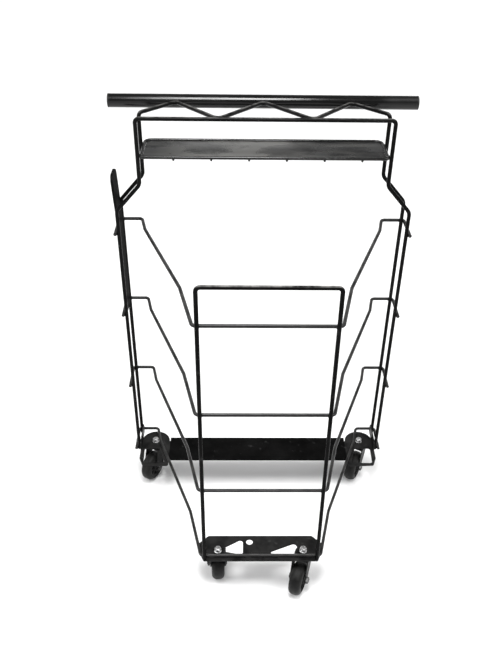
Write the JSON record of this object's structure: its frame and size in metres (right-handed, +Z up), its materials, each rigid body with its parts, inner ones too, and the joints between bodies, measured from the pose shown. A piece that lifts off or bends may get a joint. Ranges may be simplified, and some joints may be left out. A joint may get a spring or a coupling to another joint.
{
  "type": "tray trolley",
  "caption": "Welded wire tray trolley on swivel castors, narrow at the nose, with bent wire tray rests, a small shelf and a push handle.",
  "frame": {"origin": "on the floor, below the middle of the object's box", "axes": "+X to the right seen from the narrow nose end, +Y towards the push handle, +Z up from the floor"},
  "size_m": [0.64, 0.5443, 0.9506],
  "materials": {
    "wire": "satin black coating",
    "sheet": "satin black coating",
    "dark_bar": "matt black coating",
    "panel": "glossy",
    "handle": "glossy black coating",
    "cap": "matt",
    "zinc": "zinc plated",
    "fork": "satin black coating",
    "core": "moulded",
    "tyre": "matt grey"
  },
  "bodies": {
    "frame": {"front_hoop": "wire", "rear_hoop": "wire", "nose_hoop": "wire", "tray_rest_bottom": "wire", "tray_rest_middle": "wire", "tray_rest_top": "wire", "base_rest": "wire", "shelf_ring": "wire", "shelf_cross_wires": "wire", "front_castor_plate": "sheet", "rear_castor_plate_left": "sheet", "rear_castor_plate_right": "sheet", "left_side_plate": "sheet", "rear_cross_bar": "dark_bar", "shelf_panel": "panel", "handle_tube": "handle", "handle_cap_left": "cap", "handle_cap_right": "cap", "castor_bolts": "zinc", "castor_washers": "zinc", "castor_nuts": "zinc", "race_front_left": "fork", "race_front_right": "fork", "race_rear_left": "fork", "race_rear_right": "fork"},
    "castor_front_left": {"fork_front_left": "fork", "axle_front_left": "zinc", "axle_nut_front_left": "zinc", "bush_front_left": "zinc"},
    "wheel_front_left": {"core_front_left": "core", "tyre_front_left": "tyre"},
    "castor_front_right": {"fork_front_right": "fork", "axle_front_right": "zinc", "axle_nut_front_right": "zinc", "bush_front_right": "zinc"},
    "wheel_front_right": {"core_front_right": "core", "tyre_front_right": "tyre"},
    "castor_rear_left": {"fork_rear_left": "fork", "axle_rear_left": "zinc", "axle_nut_rear_left": "zinc", "bush_rear_left": "zinc"},
    "wheel_rear_left": {"core_rear_left": "core", "tyre_rear_left": "tyre"},
    "castor_rear_right": {"fork_rear_right": "fork", "axle_rear_right": "zinc", "axle_nut_rear_right": "zinc", "bush_rear_right": "zinc"},
    "wheel_rear_right": {"core_rear_right": "core", "tyre_rear_right": "tyre"}
  },
  "joints": [
    {"name": "swivel_front_left", "type": "hinge", "parent": "frame", "child": "castor_front_left", "pos_m": [-0.0925, -0.2151, 0.0929], "axis": [0, 0, 1], "continuous": true},
    {"name": "roll_front_left", "type": "hinge", "parent": "castor_front_left", "child": "wheel_front_left", "pos_m": [-0.09403, -0.19315, 0.0375], "axis": [0.9976, 0.0698, 0], "continuous": true},
    {"name": "swivel_front_right", "type": "hinge", "parent": "frame", "child": "castor_front_right", "pos_m": [0.0925, -0.2151, 0.0929], "axis": [0, 0, 1], "continuous": true},
    {"name": "roll_front_right", "type": "hinge", "parent": "castor_front_right", "child": "wheel_front_right", "pos_m": [0.08426, -0.2355, 0.0375], "axis": [-0.9272, 0.3746, 0], "continuous": true},
    {"name": "swivel_rear_left", "type": "hinge", "parent": "frame", "child": "castor_rear_left", "pos_m": [-0.2577, 0.1267, 0.0929], "axis": [0, 0, 1], "continuous": true},
    {"name": "roll_rear_left", "type": "hinge", "parent": "castor_rear_left", "child": "wheel_rear_left", "pos_m": [-0.26803, 0.10728, 0.0375], "axis": [-0.8829, 0.4695, 0], "continuous": true},
    {"name": "swivel_rear_right", "type": "hinge", "parent": "frame", "child": "castor_rear_right", "pos_m": [0.2577, 0.1267, 0.0929], "axis": [0, 0, 1], "continuous": true},
    {"name": "roll_rear_right", "type": "hinge", "parent": "castor_rear_right", "child": "wheel_rear_right", "pos_m": [0.24737, 0.10728, 0.0375], "axis": [-0.8829, 0.4695, 0], "continuous": true}
  ]
}
